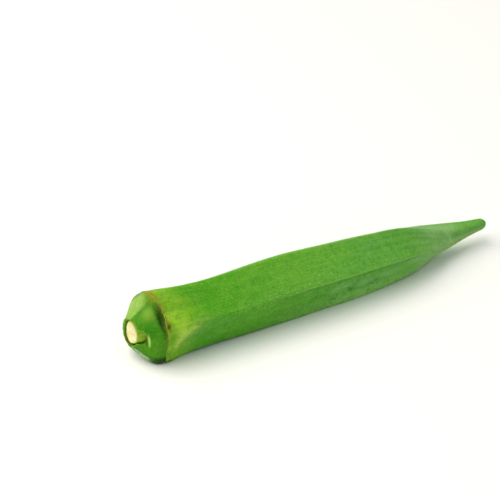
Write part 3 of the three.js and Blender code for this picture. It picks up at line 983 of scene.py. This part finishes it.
def make_down(settings):
    """The pod's down: thousands of short three-sided hairs, each a base triangle sunk a little into
    the skin and a tip that leans towards the pod's tip. They are sown evenly over the skin: three
    times as many places are drawn as are needed, and each is kept in proportion to the radius."""
    draw = np.random.default_rng(HAIR_SEED)
    drawn = settings.hairs * 3
    s = draw.uniform(HAIR_FROM, HAIR_TO, drawn)
    keep = draw.uniform(0, HAIR_RADIUS, drawn) < curve(RADIUS, s)
    s = s[keep][:settings.hairs]
    angle = draw.uniform(0, 2 * np.pi, len(s))
    on_body = (s > scar_at(angle) + HAIR_FROM_SCAR)[:, None]

    def skin_point(s, angle):
        start = collar_at(angle)
        q = np.clip((s - start) / (scar_at(angle) - CAP_END - start), 0.1, 1)
        cap_radius, cap_along = cap_point(q, angle)
        body = place(body_radius(s, angle), s, angle)
        return np.where(on_body, body, place(cap_radius, cap_along, angle))

    root = skin_point(s, angle)
    along_skin = skin_point(s + STEP_ALONG, angle) - root
    round_skin = skin_point(s, angle + STEP_ROUND) - root
    normal = np.cross(along_skin, round_skin)
    size = np.linalg.norm(normal, axis=1, keepdims=True)
    normal /= np.maximum(size, TINY)
    keep = (root[:, 2] > HAIR_CLEARANCE * MM) & (s < TIP_ROUND_AT) & (size[:, 0] > TINY)
    root, normal = root[keep], normal[keep]

    n = len(root)
    length = settings.hair_length * draw.uniform(*HAIR_LENGTHS, n)[:, None]
    direction = normal + draw.normal(0, HAIR_SPREAD, (n, 3)) + np.array([HAIR_LEAN, 0, 0])
    direction /= np.linalg.norm(direction, axis=1, keepdims=True)
    side = np.cross(direction, ASKEW)
    side /= np.linalg.norm(side, axis=1, keepdims=True)
    other = np.cross(direction, side)
    base = root - normal * HAIR_SINK * MM
    thick = settings.hair_thickness / 2
    corners = [base + thick * (side * np.cos(turn) + other * np.sin(turn))
               for turn in (0, 2 * np.pi / 3, 4 * np.pi / 3)]
    points = np.stack([*corners, root + direction * length], 1).reshape(-1, 3)
    first = 4 * np.arange(n)[:, None]
    faces = np.concatenate([first + np.array(corner)
                            for corner in ((0, 2, 1), (0, 1, 3), (1, 2, 3), (2, 0, 3))])
    down = add_mesh("okra_pod_down", points, [faces], smooth=False)
    down.data.materials.append(down_material(settings))
    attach(down, BODY)
    return down


def add_light(name, power, size, at, aim, colour):
    """A square area light at a point, turned to face another."""
    data = bpy.data.lights.new(name, "AREA")
    data.energy = power
    data.size = size
    data.color = linear(colour)[:3]
    light = bpy.data.objects.new(name, data)
    light.location = at
    light.rotation_euler = (Vector(aim) - Vector(at)).to_track_quat("-Z", "Y").to_euler()
    bpy.context.scene.collection.objects.link(light)


def make_stage(settings):
    """The floor, the soft lights, the pale surroundings and the camera."""
    low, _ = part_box(NODE)
    half, floor_z = settings.floor_size / 2, float(low[2])
    signs = ((-1, -1), (1, -1), (1, 1), (-1, 1))
    corners = np.array([(x * half, y * half, floor_z) for x, y in signs])
    floor = add_mesh("stage_floor", corners, [np.array([[0, 1, 2, 3]])], smooth=False)
    floor.data.materials.append(stage_material(settings))

    middle = (0.0, 0.0, 0.01)
    add_light("key", power=settings.key_power, size=1.1, at=(-0.45, 0.25, 0.75), aim=middle,
              colour="fffaf0")
    add_light("fill", power=settings.fill_power, size=0.9, at=(-0.3, -0.8, 0.45), aim=middle,
              colour="f4f8ff")

    world = bpy.data.worlds.new("pale_room")
    world.use_nodes = True
    background = world.node_tree.nodes["Background"]
    background.inputs["Color"].default_value = linear("f4f7fb")
    background.inputs["Strength"].default_value = settings.room_light
    bpy.context.scene.world = world
    bpy.context.scene.view_settings.view_transform = "Standard"

    camera = bpy.data.objects.new("camera", bpy.data.cameras.new("camera"))
    camera.data.lens = settings.lens
    camera.data.sensor_width = 36.0
    camera.data.clip_start = 0.01
    camera.location = settings.camera_at
    aim = Vector(settings.camera_aim) - Vector(settings.camera_at)
    camera.rotation_euler = aim.to_track_quat("-Z", "Y").to_euler()
    bpy.context.scene.collection.objects.link(camera)
    bpy.context.scene.camera = camera


# Add-on ---------------------------------------------------


def colour_property(name, description, hex_colour):
    return FloatVectorProperty(name=name, description=description, default=linear(hex_colour)[:3],
                               subtype="COLOR", size=3, min=0, max=1)


class OkraSettings(bpy.types.PropertyGroup):
    """The sizes and colours of the pod and its stage that a user would change."""
    hairs: IntProperty(
        name="Hairs", description="How many hairs are sown", default=34000, min=0, max=48000)
    hair_length: FloatProperty(
        name="Hair length", description="Mean length of a hair", default=0.28 * MM,
        unit="LENGTH", subtype="DISTANCE", precision=5)
    hair_thickness: FloatProperty(
        name="Hair thickness", description="Thickness of a hair at its root", default=0.02 * MM,
        unit="LENGTH", subtype="DISTANCE", precision=6)
    floor_size: FloatProperty(
        name="Floor size", description="Side of the square floor", default=4.0,
        unit="LENGTH", subtype="DISTANCE")
    key_power: FloatProperty(
        name="Key light", description="Power of the main light", default=11.5,
        unit="POWER", subtype="POWER")
    fill_power: FloatProperty(
        name="Fill light", description="Power of the soft front light", default=1.2,
        unit="POWER", subtype="POWER")
    room_light: FloatProperty(
        name="Room light", description="Strength of the surroundings", default=0.42)
    lens: FloatProperty(
        name="Lens", description="Focal length of the camera in millimetres", default=121.7)
    camera_at: FloatVectorProperty(
        name="Camera", description="Where the camera stands", default=(-0.2169, -0.3206, 0.2500),
        unit="LENGTH", subtype="XYZ", precision=4)
    camera_aim: FloatVectorProperty(
        name="Camera aim", description="The point that the camera faces",
        default=(-0.0140, 0.0120, 0.0130), unit="LENGTH", subtype="XYZ", precision=4)

    skin_near: colour_property("Skin near the scar", "Green of the body's first fifth", "489c14")
    skin_middle: colour_property("Skin in the middle", "Green of the body's middle", "5aa02c")
    # The paler, greyer greens further on and in the taper are partly painted sheen.
    skin_far: colour_property("Skin further on", "Green where the body begins to taper", "60a64a")
    skin_taper: colour_property("Skin of the taper", "Pale green of the narrowing end", "7cb468")
    skin_tip: colour_property("Skin of the tip", "Green of the very tip", "68aa58")
    yellow_end: colour_property("Yellow zone", "Yellow-green of the body beside the scar", "9cc828")
    cap_green: colour_property("Cap", "Dark green of the cap", "2f7408")
    # The cap's pale side is partly its own paler green and partly painted sheen.
    cap_pale: colour_property("Cap's pale side", "Pale green of the cap's upper side", "86b048")
    scar_brown: colour_property("Scar", "Dry brown of the ring scar", "aa8c38")
    pith_cream: colour_property("Pith", "Cream of the cut stem", "e4da94")
    hair_colour: colour_property("Hair colour", "Colour of the down", "8ab640")
    floor_colour: colour_property("Floor colour", "Colour of the floor", "f6f6f3")


class OKRA_OT_pod(bpy.types.Operator):
    """Build the pod's skin over its solid"""
    bl_idname = "okra.pod"
    bl_label = "Pod"

    def execute(self, context):
        make_pod(context.scene.okra)
        return {"FINISHED"}


class OKRA_OT_down(bpy.types.Operator):
    """Sow the fine hairs on the pod's skin"""
    bl_idname = "okra.down"
    bl_label = "Down"

    def execute(self, context):
        make_down(context.scene.okra)
        return {"FINISHED"}


class OKRA_OT_stage(bpy.types.Operator):
    """Set the floor, the lights and the camera"""
    bl_idname = "okra.stage"
    bl_label = "Stage"

    def execute(self, context):
        make_stage(context.scene.okra)
        return {"FINISHED"}


class OKRA_PT_panel(bpy.types.Panel):
    """The okra pod's buttons and values"""
    bl_idname = "OKRA_PT_panel"
    bl_label = "Okra pod"
    bl_space_type = "VIEW_3D"
    bl_region_type = "UI"
    bl_category = "Okra"

    def draw(self, context):
        for operator in OPERATORS:
            self.layout.operator(operator.bl_idname)
        for name in OkraSettings.__annotations__:
            self.layout.prop(context.scene.okra, name)


OPERATORS = (OKRA_OT_pod, OKRA_OT_down, OKRA_OT_stage)
CLASSES = (OkraSettings, *OPERATORS, OKRA_PT_panel)


def register():
    for cls in CLASSES:
        bpy.utils.register_class(cls)
    bpy.types.Scene.okra = PointerProperty(type=OkraSettings)


def unregister():
    del bpy.types.Scene.okra
    for cls in reversed(CLASSES):
        bpy.utils.unregister_class(cls)


def main():
    register()
    bpy.ops.okra.pod()
    bpy.ops.okra.down()
    bpy.ops.okra.stage()


if __name__ == "__main__":
    main()
